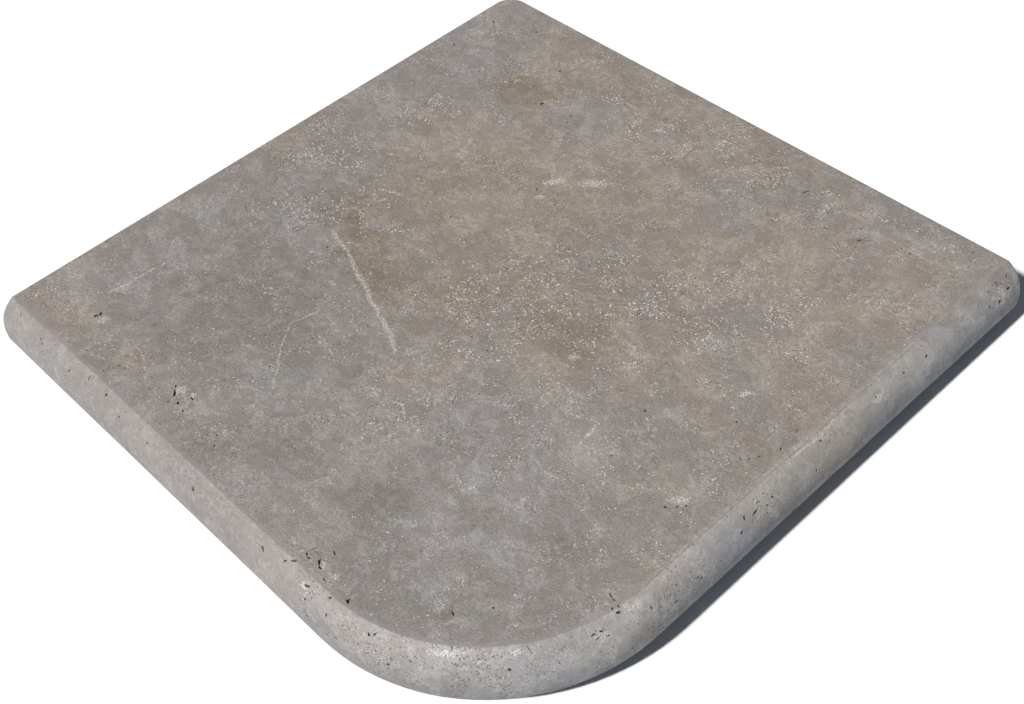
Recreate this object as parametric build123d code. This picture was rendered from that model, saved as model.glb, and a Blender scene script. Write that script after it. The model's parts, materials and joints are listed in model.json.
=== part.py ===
from build123d import *
import os

# Pool coping stone: one outside corner piece of a pool's edge, sawn from a single
# travertine slab. Two neighbouring sides are nosed and run into each other round a
# large corner, and the other two are plain sawn sides that butt the next stones.
# +Z is up and the origin is the middle of the underside. The nosed sides face -Y
# and +X, so the large round corner is at +X, -Y.

# Driving dimensions, in millimetres
stone_length = 305.0  # along X, from the plain side to the nosed side
stone_width = 305.0  # along Y, from the nosed side to the plain side
stone_thickness = 30.0
nose_corner_radius = 86.0  # in plan, along the widest line of the nosing
nosing_reach = 9.0  # how far the nosing stands out past the crease above it
back_corner_radius = 10.0  # in plan, where the two plain sides meet
nosing_end_radius = 3.0  # in plan, where each nosing meets a plain side
top_arris_radius = 1.2  # worn edge all round the top face
bottom_arris_radius = 1.2  # worn edge all round the underside

# Places worked out from them
left, right = -stone_length / 2, stone_length / 2
front, back = -stone_width / 2, stone_width / 2
corner_x, corner_y = right - nose_corner_radius, front + nose_corner_radius
crease_radius = nose_corner_radius - nosing_reach


def nosing_section(plane):
    """The stone's section from the corner's centre out to the nosing, on a plane
    whose x runs outwards and whose y runs up."""
    outline = Polyline(
        (crease_radius, 0),
        (0, 0),
        (0, stone_thickness),
        (crease_radius, stone_thickness),
    )
    outline += ThreePointArc(
        (crease_radius, stone_thickness),
        (nose_corner_radius, stone_thickness / 2),
        (crease_radius, 0),
    )
    return plane * make_face(outline)


def nosed_corner():
    """The section turned a quarter round the corner's centre."""
    start = Plane(origin=(corner_x, corner_y, 0), x_dir=(0, -1, 0), z_dir=(-1, 0, 0))
    turn_axis = Axis((corner_x, corner_y, 0), (0, 0, 1))
    return revolve(nosing_section(start), turn_axis, 90)


def front_nosing():
    """The nosed strip from the round corner to the left side."""
    start = Plane(origin=(corner_x, corner_y, 0), x_dir=(0, -1, 0), z_dir=(-1, 0, 0))
    return extrude(nosing_section(start), corner_x - left)


def right_nosing():
    """The nosed strip from the round corner to the back side."""
    start = Plane(origin=(corner_x, corner_y, 0), x_dir=(1, 0, 0), z_dir=(0, -1, 0))
    return extrude(nosing_section(start), -(back - corner_y))


def slab_behind_nosings():
    """The plain slab between the two strips and the two plain sides."""
    return Pos(left, corner_y, 0) * Box(
        corner_x - left,
        back - corner_y,
        stone_thickness,
        align=(Align.MIN, Align.MIN, Align.MIN),
    )


def plan_outline():
    """The stone's outline from above, rounded at its three small corners."""
    outline = Rectangle(stone_length, stone_width)
    corners = outline.vertices().sort_by(Axis((0, 0, 0), (1, -1, 0)))
    outline = fillet(corners[0], back_corner_radius)
    for end in (Vector(left, front), Vector(right, back)):
        outline = fillet(outline.vertices().sort_by_distance(end)[0], nosing_end_radius)
    return outline


def coping_stone():
    stone = nosed_corner() + front_nosing() + right_nosing() + slab_behind_nosings()
    stone = stone & extrude(plan_outline(), stone_thickness)
    stone = fillet(stone.faces().sort_by(Axis.Z)[-1].edges(), top_arris_radius)
    return fillet(stone.faces().sort_by(Axis.Z)[0].edges(), bottom_arris_radius)


os.makedirs("parts", exist_ok=True)
export_step(coping_stone(), "parts/coping_stone.step")
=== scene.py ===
import json
import math
import random

import bmesh
import bpy
from mathutils import Euler, Matrix, Vector, noise

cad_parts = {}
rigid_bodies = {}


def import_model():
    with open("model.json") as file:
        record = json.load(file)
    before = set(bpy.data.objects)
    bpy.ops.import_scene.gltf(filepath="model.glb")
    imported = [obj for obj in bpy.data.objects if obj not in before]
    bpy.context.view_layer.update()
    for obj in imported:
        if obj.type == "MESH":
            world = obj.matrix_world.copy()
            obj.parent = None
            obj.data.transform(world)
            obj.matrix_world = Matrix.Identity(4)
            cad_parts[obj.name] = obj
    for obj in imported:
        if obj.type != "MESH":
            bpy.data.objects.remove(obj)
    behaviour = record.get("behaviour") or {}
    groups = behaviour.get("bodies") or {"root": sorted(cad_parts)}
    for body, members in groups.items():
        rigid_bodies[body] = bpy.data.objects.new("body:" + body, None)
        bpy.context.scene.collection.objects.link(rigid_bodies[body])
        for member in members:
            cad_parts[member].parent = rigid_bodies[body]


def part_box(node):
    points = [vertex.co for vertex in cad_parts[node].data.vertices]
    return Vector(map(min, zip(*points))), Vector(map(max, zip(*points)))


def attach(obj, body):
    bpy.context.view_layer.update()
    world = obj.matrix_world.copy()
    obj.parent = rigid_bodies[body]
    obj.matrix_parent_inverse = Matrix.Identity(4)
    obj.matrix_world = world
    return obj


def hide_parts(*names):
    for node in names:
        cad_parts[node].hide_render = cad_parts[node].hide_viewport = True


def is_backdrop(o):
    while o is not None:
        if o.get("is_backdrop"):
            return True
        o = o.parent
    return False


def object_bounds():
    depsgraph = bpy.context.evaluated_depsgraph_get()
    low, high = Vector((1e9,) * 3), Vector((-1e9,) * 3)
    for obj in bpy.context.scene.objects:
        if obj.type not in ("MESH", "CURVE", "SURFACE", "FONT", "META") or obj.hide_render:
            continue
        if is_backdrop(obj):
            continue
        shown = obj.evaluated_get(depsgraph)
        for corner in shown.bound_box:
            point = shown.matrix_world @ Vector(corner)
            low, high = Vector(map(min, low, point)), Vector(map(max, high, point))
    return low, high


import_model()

# A travertine coping stone for the outside corner of a pool's edge. Its body is modelled
# from the nosing's section, its open pores are cut into it, and its brushed top, honed
# nosing, sawn sides and pore walls each get their own finish.

bl_info = {
    "name": "Pool coping stone",
    "version": (1, 0, 0),
    "blender": (4, 5, 0),
    "location": "View3D > Sidebar > Coping",
    "description": "Models a travertine coping stone, cuts its open pores and finishes its faces",
    "category": "Object",
}

MM = 0.001
STONE = "coping_stone"
LOW, HIGH = (Vector(corner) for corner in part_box(STONE))
LEFT, FRONT = LOW.x, LOW.y
RIGHT, BACK, TOP = HIGH.x, HIGH.y, HIGH.z
CAD_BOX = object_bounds()

# Places in the stone's material slots
BRUSHED, HONED, SAWN, PORE = range(4)

STONE_MODEL = "travertine_stone"

# Points this near are taken as one place, points nearer than the second distance are
# merged, and the third is how exactly a cut falls
SAME_PLACE = 0.002 * MM
MERGED = 0.001 * MM
CUT_PRECISION = 0.0001 * MM

# How finely the round parts are cut, the section's arc by the facets of its whole circle
SECTION_FACETS = 52
CORNER_STEPS = 26
BACK_CORNER_SEGMENTS = 8
ARRIS_SEGMENTS = 3
NOSING_END_CUTS = (0.1, 0.3, 0.6, 1.0)  # as shares of the end's radius

# Faces that meet at less than the first belong to one round surface, and edges that turn
# by less than the second are shaded smooth
SHARPEST_FACET = math.radians(20)
SMOOTH_BELOW = math.radians(32)

# Widths of the lumps by which the faces undulate and the crease is rubbed down
LONG_DIP, SHORT_DIP, RUBBED_SPOT = 34 * MM, 13 * MM, 9 * MM

# Faces that point up by this much belong to the top
FACING_UP = 0.97


def shown(red, green, blue):
    """A display colour, 0 to 255, as the linear colour that renders as it."""
    parts = (part / 255 for part in (red, green, blue))
    return tuple(
        part / 12.92 if part <= 0.04045 else ((part + 0.055) / 1.055) ** 2.4 for part in parts
    )


def length(label, text, millimetres):
    return bpy.props.FloatProperty(
        name=label,
        description=text,
        default=millimetres * MM,
        min=0.0,
        subtype="DISTANCE",
        unit="LENGTH",
    )


def share(label, text, value):
    return bpy.props.FloatProperty(
        name=label, description=text, default=value, min=0.0, soft_max=2.0
    )


def angle(label, text, degrees):
    return bpy.props.FloatProperty(
        name=label,
        description=text,
        default=math.radians(degrees),
        subtype="ANGLE",
        unit="ROTATION",
    )


def count(label, text, value):
    return bpy.props.IntProperty(name=label, description=text, default=value, min=0)


def tint(label, text, colour):
    return bpy.props.FloatVectorProperty(
        name=label, description=text, default=colour, size=3, min=0.0, max=1.0, subtype="COLOR"
    )


class BodySizes(bpy.types.PropertyGroup):
    nose_corner_radius: length(
        "Round corner", "Radius in plan along the widest line of the nosing", 86
    )
    nosing_reach: length("Nosing reach", "How far the nosing stands out past its crease", 9)
    back_corner_radius: length("Back corner", "Radius in plan where the plain sides meet", 10)
    nosing_end_radius: length("Nosing end", "Radius in plan where a nosing meets a plain side", 3)
    arris_radius: length("Arris", "Radius of the worn edge round the top and the underside", 1.2)
    grid_step: length("Grid", "Spacing of the cuts that let the faces undulate", 6)
    undulation: length("Undulation", "How deep the faces dip below their flat", 0.12)
    edge_wear: length("Edge wear", "How far the crease is rubbed down at most", 0.35)


class PoreSizes(bpy.types.PropertyGroup):
    top_pores: count("Top", "Scattered pores in the brushed top", 45)
    nosing_pores: count("Nosing", "Scattered pores in the honed nosing", 150)
    side_pores: count("Sides", "Scattered pores in the sawn sides", 60)
    underside_pores: count("Underside", "Scattered pores in the underside", 60)
    smallest: length("Smallest", "Width of the smallest scattered pore", 0.4)
    largest: length("Largest", "Width of the largest scattered pore", 1.6)
    seed: count("Seed", "Picks another scatter of pores", 7)


class FinishColours(bpy.types.PropertyGroup):
    cool: tint("Cool stone", "The greyer clouds of the stone", shown(146, 140.5, 137.5))
    warm: tint("Warm stone", "The browner clouds of the stone", shown(149, 138, 127))
    honed: tint("Honed stone", "The paler stone of the nosing", shown(153, 148, 146))
    calcite: tint("Calcite", "Crystals in the veins and at the rims of pores", shown(222, 218, 210))
    # The colour of the dark pins and specks, and of the pores further down
    pore_dark: tint("Dark of pores", "What has settled in the pores", shown(84, 76, 70))


class StageSettings(bpy.types.PropertyGroup):
    light_height: angle("Light height", "How high the main light stands over the floor", 48)
    light_turn: angle(
        "Light turn", "Where the main light stands round the stone, from -Y towards +X", -2
    )
    light_spread: angle("Light spread", "How wide the main light looks from the stone", 4)
    sky_share: share("Sky share", "How much of the light on the top comes from all round", 0.085)
    floor_white: share("Floor white", "How pale the camera sees the floor", 1.04)
    floor_bounce: share("Floor bounce", "How much of its light the floor sends back", 0.36)


def settings():
    return bpy.context.scene.coping


# Modelling helpers


def make_active(piece):
    bpy.ops.object.select_all(action="DESELECT")
    piece.select_set(True)
    bpy.context.view_layer.objects.active = piece


def edit(piece):
    make_active(piece)
    bpy.ops.object.mode_set(mode="EDIT")


def leave_edit():
    bpy.ops.object.mode_set(mode="OBJECT")


def select(piece, kind, test):
    """Leaves selected, in edit mode, only the vertices, edges or faces that pass the test."""
    bpy.ops.mesh.select_mode(type=kind)
    bpy.ops.mesh.select_all(action="DESELECT")
    mesh = bmesh.from_edit_mesh(piece.data)
    parts = {"VERT": mesh.verts, "EDGE": mesh.edges, "FACE": mesh.faces}[kind]
    for part in parts:
        if test(part):
            part.select_set(True)
    mesh.select_flush_mode()
    bmesh.update_edit_mesh(piece.data)


def near(a, b):
    return abs(a - b) < SAME_PLACE


def both(edge, test):
    return all(test(corner.co) for corner in edge.verts)


def move_selection(x=0.0, y=0.0, z=0.0):
    bpy.ops.mesh.extrude_region_move(TRANSFORM_OT_translate={"value": (x, y, z)})


def cut(point, direction, clear=False):
    bpy.ops.mesh.select_all(action="SELECT")
    bpy.ops.mesh.bisect(
        plane_co=point, plane_no=direction, clear_outer=clear, threshold=CUT_PRECISION
    )


def merge_doubles():
    bpy.ops.mesh.select_all(action="SELECT")
    bpy.ops.mesh.remove_doubles(threshold=MERGED)


def apply_modifiers(piece):
    make_active(piece)
    for name in [modifier.name for modifier in piece.modifiers]:
        bpy.ops.object.modifier_apply(modifier=name)


# The stone's shape


def corner_centre():
    radius = settings().body.nose_corner_radius
    return RIGHT - radius, FRONT + radius


def section_radius():
    """Radius of the arc that the nosing's section is."""
    reach = settings().body.nosing_reach
    return (reach**2 + (TOP / 2) ** 2) / (2 * reach)


def past_crease(x, y):
    """How far a place in plan lies outside the crease above the nosing."""
    centre_x, centre_y = corner_centre()
    body = settings().body
    reached = math.hypot(max(x - centre_x, 0), max(centre_y - y, 0))
    return reached - (body.nose_corner_radius - body.nosing_reach)


def skin_depth(place):
    """How deep a place lies under the stone's skin."""
    radius = section_radius()
    out = past_crease(place.x, place.y) + radius - settings().body.nosing_reach
    under_nosing = radius - math.hypot(max(out, 0), place.z - TOP / 2)
    return min(TOP - place.z, place.z, place.x - LEFT, BACK - place.y, under_nosing)


def nosing_line():
    """The section of the nosing and of the faces above and below it, as a line of edges."""
    body = settings().body
    radius = section_radius()
    arc_y = FRONT + radius
    bpy.ops.object.select_all(action="DESELECT")
    bpy.ops.mesh.primitive_circle_add(
        vertices=SECTION_FACETS,
        radius=radius,
        fill_type="NOTHING",
        location=(corner_centre()[0], arc_y, TOP / 2),
        rotation=(0, math.pi / 2, 0),
    )
    stone = bpy.context.object
    stone.name = stone.data.name = STONE_MODEL
    bpy.ops.object.transform_apply(location=True, rotation=True, scale=True)
    edit(stone)
    cut((0, 0, TOP), (0, 0, 1), clear=True)
    cut((0, 0, 0), (0, 0, -1), clear=True)
    cut((0, arc_y, 0), (0, 1, 0), clear=True)
    leave_edit()
    for corner in stone.data.vertices:
        if near(corner.co.z, 0) or near(corner.co.z, TOP):
            corner.co.y = FRONT + body.nosing_reach
    edit(stone)
    for height in (0, TOP):
        select(stone, "VERT", lambda corner: near(corner.co.z, height))
        move_selection(y=body.nose_corner_radius - body.nosing_reach)
    return stone


def draw_out(stone, test, **way):
    """Draws the open edges that pass the test out in one direction."""
    select(stone, "EDGE", lambda edge: both(edge, test))
    move_selection(**way)


def sweep_section(stone):
    """Turns the section round the corner, then draws its two ends out along the sides and
    the slab out between them."""
    centre_x, centre_y = corner_centre()
    middle = (centre_x, centre_y, 0)
    bpy.ops.mesh.select_all(action="SELECT")
    bpy.ops.mesh.spin(steps=CORNER_STEPS, angle=-math.pi / 2, center=middle, axis=(0, 0, 1))
    merge_doubles()
    to_left, to_back = LEFT - centre_x, BACK - centre_y
    draw_out(stone, lambda at: near(at.x, centre_x) and at.y < centre_y + MM, x=to_left)
    draw_out(stone, lambda at: near(at.y, centre_y) and at.x > centre_x - MM, y=to_back)
    draw_out(stone, lambda at: near(at.y, centre_y) and at.x < centre_x + MM, y=to_back)
    merge_doubles()


def at_left(place):
    return near(place.x, LEFT)


def at_back(place):
    return near(place.y, BACK)


def at_back_left(place):
    return at_left(place) and at_back(place)


def close_plain_sides(stone):
    """Fills the two plain sides and rounds the corner between them."""
    select(stone, "VERT", lambda corner: at_back_left(corner.co))
    bpy.ops.mesh.edge_face_add()
    for side in (at_left, at_back):
        select(stone, "EDGE", lambda edge: both(edge, side))
        bpy.ops.mesh.edge_face_add()
    bpy.ops.mesh.select_all(action="SELECT")
    bpy.ops.mesh.normals_make_consistent(inside=False)
    bpy.ops.mesh.dissolve_limited(angle_limit=math.radians(1))
    select(stone, "EDGE", lambda edge: both(edge, at_back_left))
    bpy.ops.mesh.bevel(
        offset_type="OFFSET",
        offset=settings().body.back_corner_radius,
        segments=BACK_CORNER_SEGMENTS,
        affect="EDGES",
    )
    leave_edit()


def ease_arrises(stone):
    """Rounds the worn edges, each by the arris radius, whatever angle it turns by."""
    normals = {}
    for face in stone.data.polygons:
        for key in face.edge_keys:
            normals.setdefault(key, []).append(face.normal)
    widths = stone.data.attributes.new("bevel_weight_edge", "FLOAT", "EDGE")
    for edge in stone.data.edges:
        first, second = normals[tuple(sorted(edge.vertices))]
        turn = first.angle(second)
        if turn > SHARPEST_FACET:
            widths.data[edge.index].value = math.tan(turn / 2)
    bevel = stone.modifiers.new("arris", "BEVEL")
    bevel.width = settings().body.arris_radius
    bevel.limit_method = "WEIGHT"
    bevel.segments = ARRIS_SEGMENTS
    apply_modifiers(stone)


def even_cuts(low, high):
    """Where even cuts fall between two sides, about a grid step apart."""
    steps = round((high - low) / settings().body.grid_step)
    return [low + (high - low) * step / steps for step in range(1, steps)]


def cut_grid(stone):
    """Cuts the faces along X and Y, more closely at the nosings' ends."""
    edit(stone)
    ends = [settings().body.nosing_end_radius * part for part in NOSING_END_CUTS]
    for x in [LEFT + end for end in ends] + even_cuts(LEFT, RIGHT):
        cut((x, 0, 0), (1, 0, 0))
    for y in [BACK - end for end in ends] + even_cuts(FRONT, BACK):
        cut((0, y, 0), (0, 1, 0))
    leave_edit()


def eased(inward, across, radius):
    """Where a point stands inward of an end once that end is rounded in plan."""
    if inward >= radius or across >= radius:
        return inward
    limit = radius - math.sqrt(radius**2 - (radius - max(across, 0)) ** 2)
    return limit + inward * (radius - limit) / radius


def round_nosing_ends(stone):
    radius = settings().body.nosing_end_radius
    for corner in stone.data.vertices:
        place = corner.co
        place.x = LEFT + eased(place.x - LEFT, place.y - FRONT, radius)
        place.y = BACK - eased(BACK - place.y, RIGHT - place.x, radius)


def wear_surface(stone):
    """Lets the faces undulate a little and rubs the crease down unevenly, always inwards."""
    body = settings().body
    for corner in stone.data.vertices:
        place = corner.co.copy()
        slow = noise.noise(place / LONG_DIP) + 0.5 * noise.noise(place / SHORT_DIP)
        dip = body.undulation * min(max(0.5 + 0.5 * slow, 0), 1)
        rubbed = max(noise.noise(place / RUBBED_SPOT + Vector((3, 7, 1))), 0) * body.edge_wear
        past = past_crease(place.x, place.y)
        if place.z > TOP - 0.05 * MM:
            corner.co.z -= dip
        if place.z > TOP - 2 * MM and abs(past) < 0.8 * MM:
            corner.co.z -= rubbed
        if past > 1.5 * MM:
            corner.co -= corner.normal * dip


def mark_faces(stone):
    """Gives each face its finish by where it lies."""
    for face in stone.data.polygons:
        middle = face.center
        on_top = middle.z > TOP - 0.5 * MM and face.normal.z > FACING_UP
        outside = past_crease(middle.x, middle.y) > 0.15 * MM
        plain = middle.x < LEFT + 0.6 * MM or middle.y > BACK - 0.6 * MM
        if on_top:
            face.material_index = BRUSHED
        elif outside and not plain:
            face.material_index = HONED
        else:
            face.material_index = SAWN


# Open pores. Each is a place in plan, its length and width, and the turn of its length
# from X, in millimetres and degrees. A place past the crease lies on the nosing.

PLAIN_PORES = (
    (-114.5, -124.6, 3, 1.9, 75), (-114, -122.6, 2.8, 1.1, 130), (-56, -124.5, 2.6, 0.8, 145),
    (-53.2, -127, 4.4, 1.2, 137), (-48, -129, 2.4, 1.1, 174), (-45.7, -123.8, 2.6, 0.9, 164),
    (-50, -125, 4.8, 0.5, 46), (-43, -130, 1.8, 0.8, 116), (-51.5, -131.5, 1, 0.8, 145),
    (-91, -110.5, 2.2, 0.9, 60), (-36.2, -92.2, 1.7, 1.2, 30), (-100, -138.5, 1, 0.9, 0),
    (-104, -134, 1.1, 0.8, 50), (-85, -140, 1.2, 0.9, 40), (-83, -134, 1.2, 1, 80),
    (-79.6, -133.3, 1, 0.8, 0), (-63.1, -132.6, 1.1, 0.9, 20), (-51.4, -131.1, 1, 0.8, 0),
    (-22.5, -128.2, 1.2, 1, 0), (-19.4, -131.9, 1, 0.9, 0), (47, -138.8, 2.2, 0.9, 136),
    (48.6, -139.3, 2, 0.9, 178), (47, -135.7, 5, 0.4, 74), (52.7, -137.6, 3.8, 1.2, 135),
    (55, -139.1, 2.8, 1, 163), (49.4, -135.8, 3.2, 0.5, 12), (53.7, -131.5, 3.4, 0.6, 160),
    (60, -141.2, 2, 0.8, 167), (73, -141, 3, 1.5, 135), (-75, 99.5, 3, 1.5, 95),
    (-77, 97.6, 1.4, 0.9, 20), (-58, 102, 3, 1.4, 60), (-56, 97, 1.8, 1, 70),
    (-61, 92, 1.3, 0.9, 0), (-87, 106, 2.6, 0.7, 80), (-116, 97, 1.4, 1, 60),
    (-110, 93, 1, 0.8, 0), (-118, 138, 1.8, 1, 100), (-141, 130, 2.4, 0.8, 130),
    (-142, 104, 2.2, 0.9, 120), (-99, 115, 1.4, 1, 50), (-103, 112, 2.2, 0.7, 70),
    (-113, 112, 1.2, 0.9, 0), (-74, -32, 1.8, 1.2, 60), (-48, 17, 1.4, 1.2, 0),
    (12, -26, 1.2, 1, 0), (22, -27, 1.2, 0.9, 40), (56, 131, 3.4, 1.2, 70),
    (88, 128, 1.8, 0.9, 60), (91, 130, 1.6, 0.8, 20), (92, 122, 3, 1.4, 50),
    (112, 129, 1.6, 1, 60), (107.5, 129.4, 1.4, 0.8, 50), (124, 136, 1.6, 0.9, 55),
    (127, 140, 1.4, 0.8, 40), (130.3, 146.9, 1.8, 0.9, 60), (91.4, 142.8, 1.2, 0.8, 50),
    (77.5, 130.4, 1.4, 0.8, 50), (131, -0.9, 2.4, 0.9, 0), (133.5, 1, 1, 0.9, 43),
    (135.6, 4.7, 2, 0.9, 68), (138.9, 12.7, 2.4, 0.8, 112), (132, 26, 1.2, 0.9, 140),
    (118.6, 11.7, 1.8, 0.8, 104), (137.6, 23.8, 1.5, 1, 50), (89.9, -7.5, 1.8, 1.3, 30),
    (95.5, -32.1, 1.4, 1, 60), (126, -36, 2, 1.4, 50), (129, -33, 1.8, 1.2, 20),
    (131, -30.5, 1.6, 1, 80), (112, -108, 1.3, 1.1, 0), (137.4, -76.7, 3, 0.7, 157),
    (139.6, -77.3, 1.8, 1, 27), (142.4, -78, 2.2, 0.7, 170), (144, -79.4, 2.6, 1.2, 46),
    (141.6, -80.2, 1.6, 0.8, 130), (149, -68.5, 2.4, 0.6, 9), (144.2, -88.1, 2, 1, 22),
    (143.2, -91, 2.4, 0.7, 80), (144.6, -90.4, 2.8, 0.6, 100), (146.2, -86.8, 1.6, 0.6, 60),
    (151, -46.4, 2.4, 0.9, 100), (147.2, -10.6, 2.2, 0.5, 120), (146.4, 27, 1.6, 0.7, 90),
    (-20, 69.2, 3.8, 0.5, 9), (-16.6, 71, 4.4, 0.6, 41), (-12.5, 73, 5, 0.5, 14),
    (-32.7, 54.6, 3.2, 0.6, 136), (-141, -146.1, 2.2, 0.6, 100), (-123.1, -147.4, 1.1, 0.9, 0),
    (-121.3, -148.3, 1.2, 0.8, 50), (-99.8, -148.6, 1.6, 1, 60), (-87.5, -145.9, 2.4, 0.7, 95),
    (-74.6, -146.1, 2, 1.2, 70), (-62.7, -148.4, 1.4, 1, 0), (-43, -148.3, 1.5, 0.9, 40),
    (31.4, -147.5, 2.6, 0.9, 110), (42.6, -145.7, 2, 1, 60), (45.8, -143.8, 2.6, 1.1, 30),
    (56.3, -146.6, 3.2, 1, 38), (57.1, -146.5, 1.4, 0.8, 115), (58.1, -149.6, 2, 1, 70),
    (67.2, -144.5, 2, 1, 50), (69.2, -148.8, 1.8, 1, 100), (60.5, -152, 1.6, 0.9, 0),
    (75.9, -151, 1.6, 1, 30), (97.8, -145.3, 1.8, 1, 50), (89.3, -142.7, 1.8, 0.9, 70),
    (131, -118.9, 1.6, 1, 20), (148.8, -13.1, 4.6, 0.9, 115), (148.9, -3.7, 1.6, 1.2, 50),
    (149.5, -7.4, 1.4, 0.9, 30), (151.4, -45.2, 1.6, 0.9, 80), (151.6, -58.3, 1.5, 1, 90),
    (151, 137, 3, 1.8, 80), (150, 144, 2.6, 1.4, 60), (147, 146, 2, 1.1, 100),
    (150.4, 131, 1.8, 1.2, 50), (146.5, 139.5, 1.6, 1, 40),
)


def skin_place(x, y):
    """The point of the top or of the nosing's upper half over a place in plan, and its normal."""
    centre_x, centre_y = corner_centre()
    reach = settings().body.nosing_reach
    radius = section_radius()
    out = past_crease(x, y)
    if out <= 0:
        return Vector((x, y, TOP)), Vector((0, 0, 1))
    from_axis = min(out + radius - reach, radius)
    rise = math.sqrt(radius**2 - from_axis**2)
    outward = Vector((max(x - centre_x, 0), min(y - centre_y, 0), 0)).normalized()
    normal = outward * (from_axis / radius) + Vector((0, 0, rise / radius))
    return Vector((x, y, TOP / 2 + rise)), normal


# The two kinds of hollow to be copied: how finely each is cut, how its noise moves with its
# seed, its plain radius, and the pitch and the height of its lumps

LARGE_BLANK = (3, (3.1, 1.7, 5.3), 0.82, ((1.3, 0.55), (3.1, 0.28)))
SMALL_BLANK = (2, (2.3, 4.9, 0.7), 0.85, ((1.6, 0.6),))
BLANKS_OF_A_KIND = 5
LARGE_FROM = 1.5  # the length, in millimetres, past which a named pore is a large one

MOST_TILT = 0.4  # how far a hollow is turned about its own axes, in radians
SUNK_SHARE = 0.25  # how much of its depth a hollow's middle lies under the skin
NOSING_LEANS = (-50, 58)  # where the nosing's scattered pores lie on its arc, in degrees
SAWN_WIDER = 1.3  # how much wider the scattered pores are in the sawn faces


def pore_blank(seed, cuts, drift, radius, lumps):
    """One irregular hollow of about unit size."""
    bpy.ops.object.select_all(action="DESELECT")
    bpy.ops.mesh.primitive_ico_sphere_add(subdivisions=cuts, radius=1.0, location=(0, 0, 0))
    blank = bpy.context.object
    offset = Vector([seed * part for part in drift])
    for corner in blank.data.vertices:
        way = corner.co.normalized()
        lump = sum(noise.noise(way * pitch + offset) * height for pitch, height in lumps)
        corner.co = way * (radius + lump)
    return blank


def sink_pore(blank, pores, place, normal, long, wide, turn, depth, draw):
    """Copies a blank to a place on the skin, its length turned in plan and its middle sunk."""
    along = Vector((math.cos(turn), math.sin(turn), 0))
    along = (along - normal * along.dot(normal)).normalized()
    frame_axes = Matrix((along, normal.cross(along), normal)).transposed()
    tilts = [draw.uniform(-MOST_TILT, MOST_TILT) for _ in range(2)]
    scale = Matrix.Diagonal((long / 2, wide / 2, depth))
    pore = blank.copy()
    pore.data = blank.data.copy()
    pore.data.transform((frame_axes @ scale @ Euler((*tilts, 0)).to_matrix()).to_4x4())
    pore.data.transform(Matrix.Translation(place - normal * depth * SUNK_SHARE))
    for face in pore.data.polygons:
        face.material_index = PORE
    pores.objects.link(pore)


def draw_place(draw, from_plain, from_nosed):
    """A place in plan, this far in from the plain sides and from the nosed ones."""
    x = draw.uniform(LEFT + from_plain * MM, RIGHT - from_nosed * MM)
    y = draw.uniform(FRONT + from_nosed * MM, BACK - from_plain * MM)
    return x, y


def scatter_places(draw, pores):
    """Yields a place, normal and size for each scattered pore, side by side over each face."""
    centre_x, centre_y = corner_centre()
    radius = section_radius()

    def size():
        return pores.smallest + (pores.largest - pores.smallest) * draw.random() ** 4.0

    for _ in range(pores.top_pores):
        x, y = draw_place(draw, 2, 11)
        if past_crease(x, y) < -2 * MM:
            yield *skin_place(x, y), size()
    for _ in range(pores.nosing_pores):
        lean = math.radians(draw.uniform(*NOSING_LEANS))
        out = radius * math.cos(lean) - radius + settings().body.nose_corner_radius
        rise = Vector((0, 0, TOP / 2 + radius * math.sin(lean)))
        part = draw.random()
        if part < 0.34:
            outward = Vector((0, -1, 0))
            foot = Vector((draw.uniform(LEFT + 3 * MM, centre_x), centre_y, 0))
        elif part < 0.68:
            outward = Vector((1, 0, 0))
            foot = Vector((centre_x, draw.uniform(centre_y, BACK - 3 * MM), 0))
        else:
            around = draw.uniform(-math.pi / 2, 0)
            outward = Vector((math.cos(around), math.sin(around), 0))
            foot = Vector((centre_x, centre_y, 0))
        normal = outward * math.cos(lean) + Vector((0, 0, math.sin(lean)))
        yield foot + outward * out + rise, normal, size()
    for _ in range(pores.side_pores):
        height = draw.uniform(3 * MM, TOP - 3 * MM)
        along = draw.uniform(-130 * MM, 128 * MM)
        if draw.random() < 0.5:
            yield Vector((LEFT, along, height)), Vector((-1, 0, 0)), size() * SAWN_WIDER
        else:
            yield Vector((-along, BACK, height)), Vector((0, 1, 0)), size() * SAWN_WIDER
    for _ in range(pores.underside_pores):
        x, y = draw_place(draw, 4, 14)
        if past_crease(x, y) < -3 * MM:
            yield Vector((x, y, 0)), Vector((0, 0, -1)), size() * SAWN_WIDER


def cut_pores(stone):
    """Copies the blanks to all their places and cuts them out of the stone."""
    pores = settings().pores
    draw = random.Random(pores.seed)
    large = [pore_blank(seed, *LARGE_BLANK) for seed in range(BLANKS_OF_A_KIND)]
    small = [pore_blank(seed, *SMALL_BLANK) for seed in range(BLANKS_OF_A_KIND)]
    hollows = bpy.data.collections.new("hollows")
    for x, y, long, wide, turn in PLAIN_PORES:
        place, normal = skin_place(x * MM, y * MM)
        blank = draw.choice(large if long > LARGE_FROM else small)
        depth = (0.4 + 0.5 * wide) * MM
        size = (long * MM, wide * MM)
        sink_pore(blank, hollows, place, normal, *size, math.radians(turn), depth, draw)
    for place, normal, wide in scatter_places(draw, pores):
        long = wide * draw.uniform(1.0, 1.8)
        turn = draw.uniform(0, math.pi)
        blank = draw.choice(small)
        sink_pore(blank, hollows, place, normal, long, wide, turn, wide * 0.6, draw)
    carve = stone.modifiers.new("pores", "BOOLEAN")
    carve.operation = "DIFFERENCE"
    carve.operand_type = "COLLECTION"
    carve.collection = hollows
    carve.solver = "MANIFOLD"
    apply_modifiers(stone)
    for hollow in list(hollows.objects) + large + small:
        bpy.data.meshes.remove(hollow.data)
    bpy.data.collections.remove(hollows)


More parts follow.
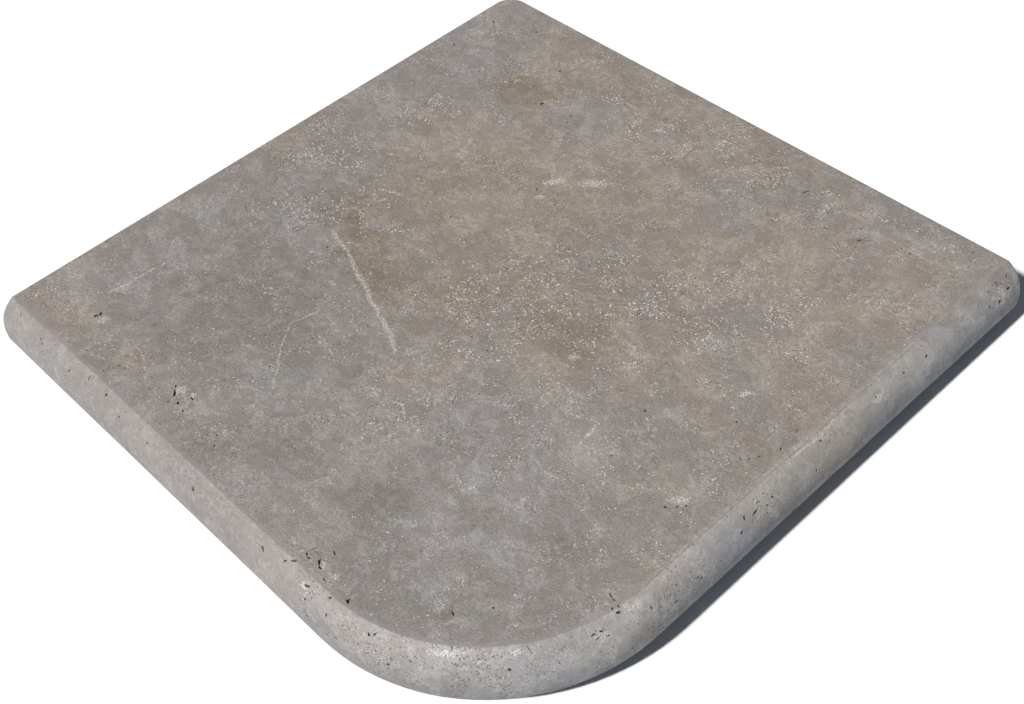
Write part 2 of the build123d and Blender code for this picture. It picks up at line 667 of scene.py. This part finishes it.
def smooth_shading(stone):
    make_active(stone)
    bpy.ops.object.shade_smooth_by_angle(angle=SMOOTH_BELOW)
    weighted = stone.modifiers.new("flat faces stay flat", "WEIGHTED_NORMAL")
    weighted.keep_sharp = True
    apply_modifiers(stone)


def store_depth(stone):
    """Keeps how deep each vertex lies under the skin, for the walls of the pores."""
    depths = stone.data.attributes.new("pore_depth", "FLOAT", "POINT")
    for corner in stone.data.vertices:
        depths.data[corner.index].value = max(skin_depth(corner.co), 0) / MM


# Shader helpers


HALF = (0.5, 0.5, 0.5)
ONE = (1.0, 1.0, 1.0)

# How a colour changes as it gets paler: paler stone is bluer and darker stone browner
PALER = (0.88, 1.0, 1.13)


def feed(socket, value):
    """Links a value to a socket, or sets it there if it is the same all over."""
    value = getattr(value, "socket", value)
    if isinstance(value, bpy.types.NodeSocket):
        socket.id_data.links.new(value, socket)
    else:
        socket.default_value = value


def add_node(tree, kind, values, **choices):
    made = tree.nodes.new(kind)
    for name, choice in choices.items():
        setattr(made, name, choice)
    for socket, value in values.items():
        feed(made.inputs[socket], value)
    return made


class Field:
    """A number, place or colour that changes over the surface. It is a node's socket, and
    what is worked out from it is a further node of the same tree."""

    def __init__(self, socket):
        self.socket = socket
        self.is_number = socket.type == "VALUE"

    def made(self, kind, values, out=0, **choices):
        return Field(add_node(self.socket.id_data, kind, values, **choices).outputs[out])

    def combine(self, operation, first, second, **choices):
        kind = "ShaderNodeMath" if self.is_number else "ShaderNodeVectorMath"
        return self.made(kind, {0: first, 1: second}, operation=operation, **choices)

    def __add__(self, other):
        return self.combine("ADD", self, other)

    def __sub__(self, other):
        return self.combine("SUBTRACT", self, other)

    def __rsub__(self, other):
        return self.combine("SUBTRACT", other, self)

    def __truediv__(self, other):
        return self.combine("DIVIDE", self, other)

    def __rtruediv__(self, other):
        return self.combine("DIVIDE", other, self)

    def __mul__(self, other):
        if self.is_number or not getattr(other, "is_number", isinstance(other, float)):
            return self.combine("MULTIPLY", self, other)
        return self.made("ShaderNodeVectorMath", {0: self, 3: other}, operation="SCALE")

    def __abs__(self):
        if self.is_number:
            return self.made("ShaderNodeMath", {0: self}, operation="ABSOLUTE")
        return self.made("ShaderNodeVectorMath", {0: self}, 1, operation="LENGTH")

    def dot(self, other):
        return self.made("ShaderNodeVectorMath", {0: self, 1: other}, 1, operation="DOT_PRODUCT")

    def highest(self, other):
        return self.combine("MAXIMUM", self, other)

    def times_plus(self, share, total):
        values = {0: self, 1: share, 2: total}
        return self.made("ShaderNodeMath", values, operation="MULTIPLY_ADD")

    def swing(self, reach):
        """Turns a value round a half into one round zero, that much wider."""
        return (self - 0.5) * reach

    def ramp(self, start, end, low=0.0, high=1.0):
        values = {0: self, 1: start, 2: end, 3: low, 4: high}
        return self.made("ShaderNodeMapRange", values, interpolation_type="SMOOTHSTEP")

    def mix(self, first, second):
        """The first colour where this mask is 0 and the second where it is 1."""
        return self.made("ShaderNodeMix", {0: self, 6: first, 7: second}, 2, data_type="RGBA")

    def lighten(self, share):
        """Makes a colour paler by a share, or darker below zero."""
        values = {0: share, 1: PALER, 2: ONE}
        return self * self.made("ShaderNodeVectorMath", values, operation="MULTIPLY_ADD")

    def noise(self, size, detail=1, roughness=0.5, out=0):
        """Soft noise whose lumps are about a size across, in millimetres."""
        values = {0: self, 2: 1 / size, 3: detail, 4: roughness}
        return self.made("ShaderNodeTexNoise", values, out)

    def group(self, name, **values):
        """What a node group gives at this place, by name."""
        values["Place"] = self
        group = bpy.data.node_groups[name]
        made = add_node(self.socket.id_data, "ShaderNodeGroup", values, node_tree=group)
        return {socket.name: Field(socket) for socket in made.outputs}


def clear_tree(owner):
    """Empties the node tree of a material or the world."""
    owner.use_nodes = True
    owner.node_tree.nodes.clear()
    return owner.node_tree


def new_group(name, inputs, outputs):
    """A node group with named sockets. Gives what it is given, and its output's sockets."""
    tree = bpy.data.node_groups.new(name, "ShaderNodeTree")
    for label, kind, value in inputs:
        socket = tree.interface.new_socket(
            label, in_out="INPUT", socket_type="NodeSocket" + kind
        )
        if value is not None:
            socket.default_value = value
    for label, kind in outputs:
        tree.interface.new_socket(label, in_out="OUTPUT", socket_type="NodeSocket" + kind)
    entry = tree.nodes.new("NodeGroupInput")
    leave = tree.nodes.new("NodeGroupOutput")
    return {label: Field(entry.outputs[label]) for label, _, _ in inputs}, leave.inputs


def make_cloud_group():
    """Clouds of cool and warm stone, broken up into ragged blotches, with fine pale lines
    between some."""
    inputs = (
        ("Place", "Vector", None),
        ("Cool", "Color", (0.3, 0.3, 0.3, 1)),
        ("Warm", "Color", (0.3, 0.25, 0.2, 1)),
        ("Warmth", "Float", 0.5),
        ("Mottle", "Float", 1.0),
    )
    outputs = (("Color", "Color"), ("Mottle", "Float"), ("Line", "Float"))
    given, result = new_group("Stone clouds", inputs, outputs)
    place = given["Place"]
    warp = place.noise(9, 3, 0.7, out=1) - HALF
    values = {0: place + warp * 13.0, 2: (0, 0, math.radians(-50)), 3: (0.7, 1.0, 1.0)}
    drawn = place.made("ShaderNodeMapping", values)
    broad = drawn.noise(64)
    coarse = drawn.noise(21, 3, 0.6)
    blotch = drawn.noise(7.5, 4, 0.7)
    small = drawn.noise(2.2, 3, 0.75)
    warmth = broad * 1.5 + coarse * 0.9 + (given["Warmth"] - 1.7)
    colour = warmth.ramp(-0.4, 0.4).mix(given["Cool"], given["Warm"])
    colour = colour * (warp * (0.12, 0.06, -0.12) + ONE)
    tone = coarse.ramp(0.46, 0.54, -0.055, 0.055) + blotch.ramp(0.475, 0.525, -0.06, 0.06)
    tone = tone + small.swing(blotch.ramp(0.42, 0.6, 0.6, 1.5)) + broad.swing(0.2)
    tone = tone * given["Mottle"]
    feed(result["Color"], colour.lighten(tone))
    feed(result["Mottle"], tone)
    edge = abs(blotch - 0.53)
    feed(result["Line"], edge.ramp(0.014, 0.004) * coarse.ramp(0.5, 0.6))


def make_fleck_group():
    """Tiny torn specks, each pale with a dark side, more of them where the amount is high."""
    inputs = (("Place", "Vector", None), ("Size", "Float", 2.0), ("Amount", "Float", 0.5))
    given, result = new_group("Torn flecks", inputs, (("Pale", "Float"), ("Dark", "Float")))
    scaled = given["Place"] * (1.0 / given["Size"])
    lit = scaled.noise(1.0, 1, 0.9)
    shaded = (scaled + (0.3, 0.45, 7.0)).noise(1.0, 1, 0.9)
    more = given["Amount"] * 0.16
    pale = (lit + more).ramp(0.73, 0.79)
    dark = (shaded + more).ramp(0.72, 0.79)
    feed(result["Pale"], pale)
    feed(result["Dark"], dark.combine("SUBTRACT", dark, pale, use_clamp=True))


def make_patch_group():
    """A soft patch with a ragged edge, set by its place, its two radii and its turn."""
    inputs = (
        ("Place", "Vector", None),
        ("Torn", "Float", 0.0),
        ("Centre", "Vector", (0, 0, 0)),
        ("Radii", "Vector", (10, 10, 60)),
        ("Turn", "Float", 0.0),
    )
    given, result = new_group("Soft patch", inputs, (("Mask", "Float"),))
    offset = given["Place"] - given["Centre"]
    values = {0: offset, 3: given["Turn"]}
    turned = offset.made("ShaderNodeVectorRotate", values, rotation_type="Z_AXIS")
    apart = abs(turned / given["Radii"]) + given["Torn"]
    feed(result["Mask"], apart.ramp(1.15, 0.35))


def make_streak_group():
    """A thin streak between two places."""
    inputs = (
        ("Place", "Vector", None),
        ("From", "Vector", (0, 0, 0)),
        ("To", "Vector", (10, 0, 0)),
        ("Width", "Float", 1.0),
    )
    given, result = new_group("Thin streak", inputs, (("Mask", "Float"),))
    run = given["To"] - given["From"]
    offset = given["Place"] - given["From"]
    gone = offset.dot(run)
    part = gone.combine("DIVIDE", gone, run.dot(run), use_clamp=True)
    gap = abs(offset - run * part)
    feed(result["Mask"], gap.ramp(given["Width"], given["Width"] * 0.25))


def make_crease_group():
    """How far a place lies outside the crease, in millimetres, and below zero inside it."""
    body = settings().body
    centre = (*(part / MM for part in corner_centre()), 0)
    inputs, outputs = (("Place", "Vector", None),), (("Distance", "Float"),)
    given, result = new_group("Past the crease", inputs, outputs)
    offset = (given["Place"] - centre) * (1.0, -1.0, 0.0)
    reached = abs(offset.highest((0.0, 0.0, 0.0)))
    crease_radius = (body.nose_corner_radius - body.nosing_reach) / MM
    feed(result["Distance"], reached - crease_radius)


# Pale streaks on the top, as runs of places in plan and a width, in millimetres

STREAKS = (
    (((-80, -24), (-65, -28), (-44, -36), (-27, -43), (-16, -47), (-5, -52)), 1.5),
    (((-46, -59), (-49, -71), (-45, -78), (-37, -87), (-27, -97)), 0.55),
    (((-122, -113), (-120, -103)), 1.0),
    (((83, -36), (81, -24)), 1.0),
    (((-86, 8), (-76, 12)), 1.0),
    (((-119, -86), (-121, -101)), 0.7),
    (((145, 26), (145, 40)), 1.2),
)

# Soft patches on the top. Each is a place in plan, its two radii and their turn from X, in
# millimetres and degrees, and then how much paler and how much warmer it is.

PATCHES = (
    (-29, 75, 17, 12, 42, 0.09, 0), (-26, 38, 20, 8, 42, 0.09, -0.1), (23, 52, 9, 6, 60, 0.12, 0),
    (74, 66, 13, 7, 42, 0.14, 0.2), (87, 36, 12, 7, 50, 0.18, 0), (83, 106, 12, 10, 42, 0.1, 0.1),
    (112, 71, 8, 5, 60, 0.12, 0), (116, 88, 24, 12, 42, 0.1, 0), (40, 90, 20, 12, 42, 0.08, 0),
    (98, -2, 7, 5, 60, 0.16, 0), (88, -36, 12, 19, 43, 0.12, 0), (131, 17, 12, 15, 43, -0.1, 0),
    (131, 17, 6, 8, 43, 0.14, 0), (76, -123, 3.5, 3, 0, 0.16, 0),
    (60, -70, 40, 30, 43, 0.08, -0.1), (95, -95, 44, 34, 45, 0.07, 0),
    (-135, -115, 27, 19, 42, 0.03, -0.2), (-105, -65, 56, 46, 50, -0.035, -0.6),
    (-138, -5, 34, 28, 42, -0.05, 0.15), (-88, -6, 24, 16, 50, -0.14, 0.1),
    (-52, -25, 38, 14, -15, -0.15, 0.4), (-66, 34, 22, 14, 42, -0.12, 0.1),
    (-100, -86, 16, 12, 42, -0.12, 0), (-7, -15, 16, 12, 42, -0.11, 0.2),
    (-88, 101, 24, 16, 41, -0.12, 0.5), (-100, 56, 17, 11, 41, -0.06, 0.25),
    (44, 2, 22, 18, 42, -0.12, 0.35), (126, 88, 28, 18, 42, 0, 0.3),
    (4, 114, 20, 8, 41, -0.05, 0.25), (-20, 138, 110, 26, 0, -0.02, 0.3),
    (-16, 59, 4, 3, 42, -0.16, 0.1), (-70, -85, 54, 34, 45, -0.09, 0),
    (-8, -115, 34, 16, 50, -0.14, 0), (-3, -74, 14, 10, 42, -0.1, 0),
    (-85, -132, 24, 10, 30, -0.1, 0), (48, -106, 20, 14, 43, -0.12, -0.1),
    (46, -74, 17, 5, 43, -0.1, 0), (79, -84, 13, 11, 42, -0.15, 0),
    (110, -74, 14, 11, 43, -0.09, 0.2), (102, -122, 6, 3, 50, -0.2, 0),
    (92, 121, 6, 3, 50, -0.22, 0),
)

# Pale crumbling spots beside the named pores and elsewhere on the top: place, radii and turn

CRUMBS = (
    (-52, -124.5, 3, 2.6, 43), (-46.5, -122.5, 1.2, 1.8, 43), (55, -137.5, 1.6, 2.4, 43),
    (62, -137.5, 1.8, 1.2, 43), (144.5, -75.5, 2.3, 2.1, 50), (-31, 63, 6, 2.2, 50),
    (-17, 73.5, 8, 3.2, 42), (-28, 52, 2.4, 1.3, 42), (50.5, -6, 2.6, 1.8, 42),
    (128, -30, 4, 2.4, 50), (112, 24.5, 3.6, 1.6, 50), (144, 19, 6, 1.6, 62),
    (-110, -124, 3, 2, 50),
)

# The streaks, patches and crumbling spots of the nosing. Two of the patches are painted fill light
# that makes the nosing's shaded right strip paler.

NOSING_STREAKS = (
    (((144.7, 10), (144.6, 17), (145.2, 23), (145.1, 28), (144.5, 37)), 0.9),
    (((146.2, 6), (145.6, 12)), 0.4),
    (((145.7, -65.8), (148.2, -67)), 0.5),
    (((152.1, -34), (152.3, -25), (152.2, -19)), 0.4),
    (((150.6, -15), (149.7, -10)), 0.8),
    (((58, -147), (57, -150)), 0.8),
)

NOSING_PATCHES_AND_PAINTED_FILL = (
    (139, -100, 46, 25, 65, 0.2, 0), (122, -133, 38, 8, 42, 0.15, 0.3),
    # Painted fill light: the long patch along the right strip, also a little warmer, and the one at
    # 151, 115 make the nosing's shaded right side paler
    (148.5, 10, 10, 150, 0, 0.46, 0.08), (151, 115, 7, 40, 0, 0.2, 0),
    (150, -50, 8, 24, 0, 0.08, 0), (-130, -147, 26, 8, 0, -0.07, -0.4),
    (119, -135, 7, 4, 45, -0.16, 0), (129.5, -122.5, 5, 3, 45, -0.14, 0),
    (-50, -149, 150, 12, 0, -0.08, -0.1),
)

NOSING_CRUMBS = (
    (144.5, -75.5, 2.3, 2.1, 50), (151, -45, 1, 1.6, 10), (150.4, -6.8, 1.2, 1.6, 20),
    (147.5, -11, 1, 2, 20), (152.3, -41.2, 0.6, 1, 0), (151.9, -52, 0.6, 1.2, 0),
    (152.1, -59.5, 0.6, 1.4, 0), (152, -66, 0.6, 1.6, 0), (145, -89, 2.6, 1.6, 50),
    (150, -88, 1.6, 1, 50), (113, -130.5, 6, 1, 40), (130, -114, 2.4, 1.4, 50),
    (55, -147, 2.2, 1.2, 20), (148.6, 60, 1.2, 5, 0), (150, 139, 2, 6, 0),
)

# Where the top and the nosing are flecked most and least: place, radii and turn, and then how
# much more

FLECKED = (
    (-98, -20, 24, 15, 60, 0.6), (-125, 10, 28, 22, 41, 0.45), (-115, 58, 19, 15, 41, 0.45),
    (0, 125, 80, 24, 0, 0.25), (20, 10, 60, 36, 50, 0.5), (75, 50, 40, 26, 50, 0.4),
    (48, 128, 40, 20, 0, 0.05), (70, -35, 34, 22, 50, 0.2), (20, -60, 34, 22, 50, 0.2),
    (-100, -110, 34, 22, 50, -0.3), (28, -122, 44, 22, 20, -0.35), (-20, -100, 50, 26, 50, -0.1),
    (94, -98, 40, 24, 43, -0.2),
)

NOSING_FLECKED = (
    (114, -130, 58, 24, 43, 0.6), (119, -135, 6, 3, 45, 0.3), (129.5, -122.5, 5, 3, 45, 0.25),
    (145, -90, 9, 8, 55, 0.6), (151, -52, 6, 28, 0, 0.7), (149, -8, 5, 10, 0, 0.4),
    (146, 24, 4, 18, 0, 0.6), (57, -147, 10, 8, 0, 0.6), (150, 138, 8, 14, 0, 0.5),
)

# The browner middle of the top, and the part of it by the right crease that is scuffed

WARM_MIDDLE = (0, 30, 130, 80, 50)
SCUFFED_SIDE = (140, 20, 24, 90, 0)

PATCH_DEPTH = 25.0  # millimetres, how far down a patch goes
MOST_FLECKED = 0.8  # flecks run together past this amount


def paint(name):
    """One of the finishes' colours, with its alpha."""
    return (*getattr(settings().finish, name), 1.0)


def start_finish(name):
    """A new material, and where the surface point lies on the stone, in millimetres."""
    material = bpy.data.materials.new(name)
    found = add_node(clear_tree(material), "ShaderNodeTexCoord", {}).outputs["Object"]
    return material, Field(found) * (1 / MM)


def end_finish(material, colour, rough, gloss, height, relief=0.25, strength=0.8):
    """Ends a material in its shader, with a relief of this depth in millimetres."""
    tree = material.node_tree
    values = {"Strength": strength, "Distance": relief * MM, "Height": height}
    values = {
        "Base Color": colour,
        "Roughness": rough,
        "Specular IOR Level": gloss,
        "Normal": add_node(tree, "ShaderNodeBump", values).outputs[0],
    }
    shader = add_node(tree, "ShaderNodeBsdfPrincipled", values)
    add_node(tree, "ShaderNodeOutputMaterial", {"Surface": shader.outputs[0]})
    return material


def stone_clouds(place, cool, warmth, mottle=1.0):
    """The clouds of the stone, from one of its colours to the warm one."""
    ends = {"Cool": paint(cool), "Warm": paint("warm")}
    return place.group("Stone clouds", **ends, Warmth=warmth, Mottle=mottle)


def skin_point(x, y):
    """The place on the skin over a place in plan, all in millimetres."""
    return skin_place(x * MM, y * MM)[0] / MM


def named_streaks(place, streaks):
    """The pale streaks in one mask, each wandering a little to both sides."""
    swayed = place + (place.noise(5, out=1) - HALF) * (3.0, 3.0, 0.0)
    found = 0.0
    for places, width in streaks:
        for start, end in zip(places, places[1:]):
            ends = {"From": skin_point(*start), "To": skin_point(*end)}
            found = swayed.group("Thin streak", **ends, Width=width)["Mask"].highest(found)
    return found


def torn_edges(place):
    """How far the edges of soft patches stray, as a share of their radii."""
    return place.noise(7, 3, 0.65).swing(1.5)


def soft_patch(place, torn, x, y, long, wide, turn):
    shape = {
        "Centre": skin_point(x, y),
        "Radii": (long, wide, PATCH_DEPTH),
        "Turn": math.radians(-turn),
    }
    return place.group("Soft patch", Torn=torn, **shape)["Mask"]


def named_patches(place, torn, patches):
    """How much paler and how much warmer all the soft patches make a place."""
    paler, warmer = 0.0, 0.0
    for *shape, gain, warmth in patches:
        mask = soft_patch(place, torn, *shape)
        paler = mask.times_plus(gain, paler)
        if warmth:
            warmer = mask.times_plus(warmth, warmer)
    return paler, warmer


def named_crumbs(place, beads, crumbs):
    """The pale crumbling spots in one mask, torn by the beads that break up the streaks."""
    torn = beads.swing(2.6)
    found = 0.0
    for shape in crumbs:
        found = soft_patch(place, torn, *shape).highest(found)
    return found


def pale_marks(place, grain, streaks, crumbs):
    """The beads, and a mask of the streaks and crumbling spots broken up by beads and grain."""
    beads = place.noise(1.3, 1, 0.7)
    lines = named_streaks(place, streaks) * beads.ramp(0.4, 0.6, 0.45, 1.0)
    lines = lines * grain.ramp(0.46, 0.64, 0.12, 1.0)
    spots = named_crumbs(place, beads, crumbs) * grain.ramp(0.43, 0.57, 0.0, 0.78)
    return beads, lines.highest(spots)


def fleck_amount(place, torn, size, amounts, flecked):
    """How many flecks a place has: from the first amount to the second in clusters of a
    size, and more or fewer in the named patches."""
    amount = place.noise(size, 3, 0.75).ramp(0.34, 0.66, *amounts)
    for *shape, gain in flecked:
        amount = soft_patch(place, torn, *shape).times_plus(gain, amount)
    return amount.combine("MINIMUM", amount, MOST_FLECKED)


def make_brushed_top():
    """The brushed top: clouded stone full of tiny torn flecks, in clusters."""
    material, place = start_finish("brushed_top")
    torn = torn_edges(place)
    paler, warmer = named_patches(place, torn, PATCHES)
    warmth = soft_patch(place, torn, *WARM_MIDDLE).times_plus(0.45, 0.25) + warmer
    clouds = stone_clouds(place, "cool", warmth)
    colour = clouds["Color"].lighten(paler)
    amount = fleck_amount(place, torn, 15, (-0.25, 0.7), FLECKED)
    flecks = place.group("Torn flecks", Size=0.82, Amount=amount)
    colour = (flecks["Dark"] * 0.7).mix(colour, paint("pore_dark"))
    colour = flecks["Pale"].mix(colour, paint("calcite"))
    colour = (clouds["Line"] * 0.25).mix(colour, paint("calcite"))

    grain = place.noise(0.6, 1, 0.7)
    colour = colour * grain.ramp(0.2, 0.8, 0.79, 1.21)
    beads, marks = pale_marks(place, grain, STREAKS, CRUMBS)
    colour = marks.mix(colour, paint("calcite"))

    worn = abs(place.group("Past the crease")["Distance"]).ramp(3.0, 0.2)
    colour = (worn * 0.6).mix(colour, paint("honed"))
    scuffed = soft_patch(place, torn, *SCUFFED_SIDE) * worn * beads.ramp(0.44, 0.64, 0.0, 0.3)
    colour = scuffed.mix(colour, paint("calcite"))
    rough = 0.82 - clouds["Mottle"] * 0.5 - worn * 0.12
    height = grain.times_plus(0.5, beads * 0.5)
    return end_finish(material, colour, rough, 0.3, height)


def make_honed_nosing():
    """The nosing: paler, smoother stone with small dark pin pores, denser round the corner,
    and painted fill light that makes its shaded right strip paler still.
    """
    material, place = start_finish("honed_nosing")
    torn = torn_edges(place)
    # Among these patches is painted fill light, which makes the shaded right strip paler
    paler, warmer = named_patches(place, torn, NOSING_PATCHES_AND_PAINTED_FILL)
    clouds = stone_clouds(place, "honed", warmer + 0.3, 0.85)
    colour = clouds["Color"].lighten(paler)
    grain = place.noise(0.7, 1, 0.7)
    colour = colour * grain.ramp(0.2, 0.8, 0.88, 1.12)
    amount = fleck_amount(place, torn, 18, (-0.4, 0.3), NOSING_FLECKED)
    pins = place.group("Torn flecks", Size=0.95, Amount=amount)
    colour = (pins["Pale"] * 0.7).mix(colour, paint("pore_dark"))
    colour = (pins["Dark"] * 0.45).mix(colour, paint("calcite"))
    _, marks = pale_marks(place, grain, NOSING_STREAKS, NOSING_CRUMBS)
    colour = marks.mix(colour, paint("calcite"))
    rough = 0.6 - clouds["Mottle"] * 0.5
    return end_finish(material, colour, rough, 0.5, grain * 0.3 - pins["Pale"])


def make_sawn_side():
    """The plain sides and the underside: sawn stone with faint saw lines."""
    material, place = start_finish("sawn_side")
    clouds = stone_clouds(place, "cool", 0.45, 0.9)
    lines = (place * (0.03, 0.03, 1.0)).noise(0.8)
    sweep = (place * (1.0, 0.02, 0.02)).noise(1.4)
    saw = lines * 0.6 + sweep * 0.4
    pins = place.group("Torn flecks", Size=1.2, Amount=0.3)
    colour = clouds["Color"] * (saw.swing(0.45) + 1.06)
    colour = (pins["Dark"] * 0.3).mix(colour, paint("calcite"))
    colour = (pins["Pale"] * 0.6).mix(colour, paint("pore_dark"))
    height = saw * 0.9 - pins["Pale"]
    return end_finish(material, colour, 0.85 - saw * 0.1, 0.3, height, strength=0.7)


def make_open_pore():
    """The walls of the open pores: pale crystals near the mouth, darker further down."""
    material, place = start_finish("open_pore")
    depth = place.made("ShaderNodeAttribute", {}, "Fac", attribute_name="pore_depth")
    uneven = place.noise(1.1, 3, 0.65)
    buried = (depth + uneven * 0.8).ramp(0.4, 1.0)
    wall = uneven.ramp(0.4, 0.65).mix(paint("warm"), paint("calcite"))
    deeper_tone = [0.75 * pore_dark + 0.25 * warm for pore_dark, warm in zip(paint("pore_dark"), paint("warm"))]
    rough = buried.ramp(0.0, 1.0, 0.7, 0.95)
    return end_finish(material, buried.mix(wall, deeper_tone), rough, 0.25, uneven, relief=0.3)


# The stage

FLOOR_SIZE = 12  # metres
FLOOR_DROP = 0.05 * MM  # the gap between the floor and the underside
FLOOR_TINT = (0.82, 1.0, 1.2)
SKY_TINT = (0.85, 1.0, 1.22)
LAMP_COLOUR = (1.0, 0.98, 0.955)
LEVEL = 1.03  # the light on the top, where 1 renders a plain colour as it is written

# The photographer's camera, from a fit to the stone's outline: its place in millimetres, its
# heading from X, dip and roll in degrees, and its lens and sensor in millimetres
CAMERA_PLACE = (339.3, -274.1, 457.3)
CAMERA_TURNS = (140.686, 46.917, 6.059)
CAMERA_LENS, CAMERA_SENSOR = 51.66, 36


def dimmed(colour, share):
    return (*(part * share for part in colour), 1.0)


def make_floor():
    """A large pale floor that shows white to the camera and keeps the stone's shadow."""
    stage = settings().stage
    bpy.ops.object.select_all(action="DESELECT")
    bpy.ops.mesh.primitive_plane_add(size=FLOOR_SIZE, location=(0, 0, -FLOOR_DROP))
    floor = bpy.context.object
    floor.name = floor.data.name = "floor"
    bpy.ops.object.transform_apply(location=True, rotation=True, scale=True)
    material = bpy.data.materials.new("pale_floor")
    tree = clear_tree(material)
    path = add_node(tree, "ShaderNodeLightPath", {}).outputs
    seen = Field(path["Is Camera Ray"]).highest(path["Is Glossy Ray"])
    bounce = dimmed(FLOOR_TINT, stage.floor_bounce)
    colour = seen.mix(bounce, dimmed(ONE, stage.floor_white))
    surface = add_node(tree, "ShaderNodeBsdfDiffuse", {"Color": colour})
    add_node(tree, "ShaderNodeOutputMaterial", {"Surface": surface.outputs[0]})
    floor.data.materials.append(material)
    floor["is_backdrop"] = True


def make_lights():
    """One soft main light from the front and an even, slightly cool sky."""
    stage = settings().stage
    towards = Vector((
        math.sin(stage.light_turn) * math.cos(stage.light_height),
        -math.cos(stage.light_turn) * math.cos(stage.light_height),
        math.sin(stage.light_height),
    ))
    bpy.ops.object.light_add(type="SUN", location=towards * 2)
    lamp = bpy.context.object
    lamp.name = "main_light"
    lamp.rotation_euler = towards.to_track_quat("Z", "Y").to_euler()
    lamp.data.angle = stage.light_spread
    lamp.data.energy = LEVEL * math.pi * (1 - stage.sky_share) / math.sin(stage.light_height)
    lamp.data.color = LAMP_COLOUR
    world = bpy.data.worlds.new("soft_sky")
    bpy.context.scene.world = world
    tree = clear_tree(world)
    seen = Field(add_node(tree, "ShaderNodeLightPath", {}).outputs["Is Camera Ray"])
    colour = seen.mix(dimmed(SKY_TINT, stage.sky_share), dimmed(ONE, 1.0))
    background = add_node(tree, "ShaderNodeBackground", {"Color": colour, "Strength": 1.0})
    add_node(tree, "ShaderNodeOutputWorld", {"Surface": background.outputs[0]})


def make_camera():
    """The camera where the photographer stood."""
    heading, dip, roll = (math.radians(turn) for turn in CAMERA_TURNS)
    level = Vector((math.sin(heading), -math.cos(heading), 0))
    ahead = Vector((math.cos(heading), math.sin(heading), 0))
    forward = ahead * math.cos(dip) - Vector((0, 0, math.sin(dip)))
    below = forward.cross(level)
    right = level * math.cos(roll) + below * math.sin(roll)
    down = below * math.cos(roll) - level * math.sin(roll)
    bpy.ops.object.camera_add(location=Vector(CAMERA_PLACE) * MM)
    camera = bpy.context.object
    camera.name = "photo_view"
    camera.rotation_euler = Matrix((right, -down, -forward)).transposed().to_euler()
    camera.data.sensor_width = CAMERA_SENSOR
    camera.data.lens = CAMERA_LENS
    bpy.context.scene.camera = camera


# Operators, panel and registration


class COPING_OT_body(bpy.types.Operator):
    """Models the stone's body from the nosing's section"""

    bl_idname = "coping.body"
    bl_label = "Model the body"

    def execute(self, context):
        stone = nosing_line()
        sweep_section(stone)
        close_plain_sides(stone)
        ease_arrises(stone)
        cut_grid(stone)
        round_nosing_ends(stone)
        mark_faces(stone)
        wear_surface(stone)
        return {"FINISHED"}


class COPING_OT_pores(bpy.types.Operator):
    """Cuts the open pores into the body"""

    bl_idname = "coping.pores"
    bl_label = "Cut the pores"

    def execute(self, context):
        stone = bpy.data.objects[STONE_MODEL]
        cut_pores(stone)
        smooth_shading(stone)
        store_depth(stone)
        return {"FINISHED"}


class COPING_OT_finish(bpy.types.Operator):
    """Gives each face of the stone its finish"""

    bl_idname = "coping.finish"
    bl_label = "Finish the faces"

    def execute(self, context):
        make_cloud_group()
        make_fleck_group()
        make_patch_group()
        make_streak_group()
        make_crease_group()
        stone = bpy.data.objects[STONE_MODEL]
        marks = [face.material_index for face in stone.data.polygons]
        stone.data.materials.clear()
        for make in (make_brushed_top, make_honed_nosing, make_sawn_side, make_open_pore):
            stone.data.materials.append(make())
        stone.data.polygons.foreach_set("material_index", marks)
        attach(stone, "root")
        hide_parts(STONE)
        return {"FINISHED"}


class COPING_OT_stage(bpy.types.Operator):
    """Sets the floor, the lights and the camera"""

    bl_idname = "coping.stage"
    bl_label = "Set the stage"

    def execute(self, context):
        make_floor()
        make_lights()
        make_camera()
        context.scene.view_settings.view_transform = "Standard"
        return {"FINISHED"}


class CopingSettings(bpy.types.PropertyGroup):
    body: bpy.props.PointerProperty(type=BodySizes)
    pores: bpy.props.PointerProperty(type=PoreSizes)
    finish: bpy.props.PointerProperty(type=FinishColours)
    stage: bpy.props.PointerProperty(type=StageSettings)


class COPING_PT_panel(bpy.types.Panel):
    """Lists the stone's settings and the steps that make it"""

    bl_label = "Pool coping stone"
    bl_idname = "COPING_PT_panel"
    bl_space_type = "VIEW_3D"
    bl_region_type = "UI"
    bl_category = "Coping"

    def draw(self, context):
        chosen = context.scene.coping
        steps = (
            (COPING_OT_body, chosen.body),
            (COPING_OT_pores, chosen.pores),
            (COPING_OT_finish, chosen.finish),
            (COPING_OT_stage, chosen.stage),
        )
        for step, group in steps:
            box = self.layout.box()
            for name in group.__annotations__:
                box.prop(group, name)
            box.operator(step.bl_idname)


CLASSES = (
    BodySizes,
    PoreSizes,
    FinishColours,
    StageSettings,
    CopingSettings,
    COPING_OT_body,
    COPING_OT_pores,
    COPING_OT_finish,
    COPING_OT_stage,
    COPING_PT_panel,
)


def register():
    for item in CLASSES:
        bpy.utils.register_class(item)
    bpy.types.Scene.coping = bpy.props.PointerProperty(type=CopingSettings)


def unregister():
    del bpy.types.Scene.coping
    for item in reversed(CLASSES):
        bpy.utils.unregister_class(item)


def main():
    register()
    bpy.ops.coping.body()
    bpy.ops.coping.pores()
    bpy.ops.coping.finish()
    bpy.ops.coping.stage()
    boxes = {"cad": CAD_BOX, "visual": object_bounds()}
    plain = {name: [list(map(float, corner)) for corner in box] for name, box in boxes.items()}


if __name__ == "__main__":
    main()
